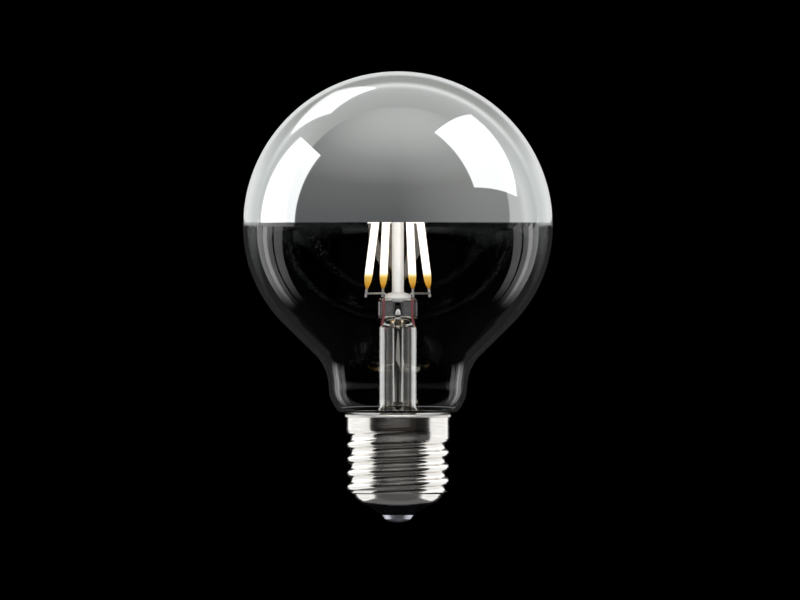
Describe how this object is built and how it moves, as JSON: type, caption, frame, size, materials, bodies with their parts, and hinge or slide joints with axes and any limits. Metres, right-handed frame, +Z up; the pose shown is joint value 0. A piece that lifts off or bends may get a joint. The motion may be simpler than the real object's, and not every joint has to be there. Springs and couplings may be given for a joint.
{
  "type": "led filament bulb",
  "caption": "Clear globe LED filament bulb with a mirrored upper half, a glass stem and a threaded metal screw cap.",
  "frame": {"origin": "tip of the centre contact, on the lamp's axis", "axes": "+Z up the lamp's axis from the cap to the crown, -Y towards the viewer with the press of the stem turned its broad way"},
  "size_m": [0.08, 0.08, 0.1166],
  "materials": {
    "envelope_glass": "gloss",
    "mirror_film": "gloss",
    "stem_glass": "gloss",
    "rod_glass": "gloss",
    "lead_nickel": "satin",
    "seal_copper": "satin",
    "tinned_copper": "satin",
    "tab_steel": "satin",
    "filament_phosphor": "matte",
    "cap_nickel": "gloss",
    "insulator_glass": "gloss",
    "contact_metal": "satin",
    "cement": "matte",
    "board_laminate": "matte",
    "chip_resin": "matte",
    "capacitor_sleeve": "gloss",
    "resistor_lacquer": "gloss"
  },
  "bodies": {
    "root": {"glass_bulb": "envelope_glass", "mirror_coating": "mirror_film", "stem": "stem_glass", "exhaust_tube": "stem_glass", "support_rod": "rod_glass", "cap_shell": "cap_nickel", "cap_insulator": "insulator_glass", "centre_contact": "contact_metal", "capping_cement": "cement", "driver_board": "board_laminate", "bridge_rectifier": "chip_resin", "current_regulator": "chip_resin", "chip_resistors": "chip_resin", "smoothing_capacitor": "capacitor_sleeve", "fusible_resistor": "resistor_lacquer", "return_wire": "tinned_copper", "inner_lead_left": "lead_nickel", "seal_wire_left": "seal_copper", "outer_lead_left": "tinned_copper", "cross_wire_left": "lead_nickel", "inner_lead_right": "lead_nickel", "seal_wire_right": "seal_copper", "outer_lead_right": "tinned_copper", "cross_wire_right": "lead_nickel", "top_wire_front": "lead_nickel", "top_wire_back": "lead_nickel", "filament_1": "filament_phosphor", "filament_2": "filament_phosphor", "filament_3": "filament_phosphor", "filament_4": "filament_phosphor", "filament_tab_lower_1": "tab_steel", "filament_tab_lower_2": "tab_steel", "filament_tab_lower_3": "tab_steel", "filament_tab_lower_4": "tab_steel", "filament_tab_upper_1": "tab_steel", "filament_tab_upper_2": "tab_steel", "filament_tab_upper_3": "tab_steel", "filament_tab_upper_4": "tab_steel"}
  },
  "joints": []
}
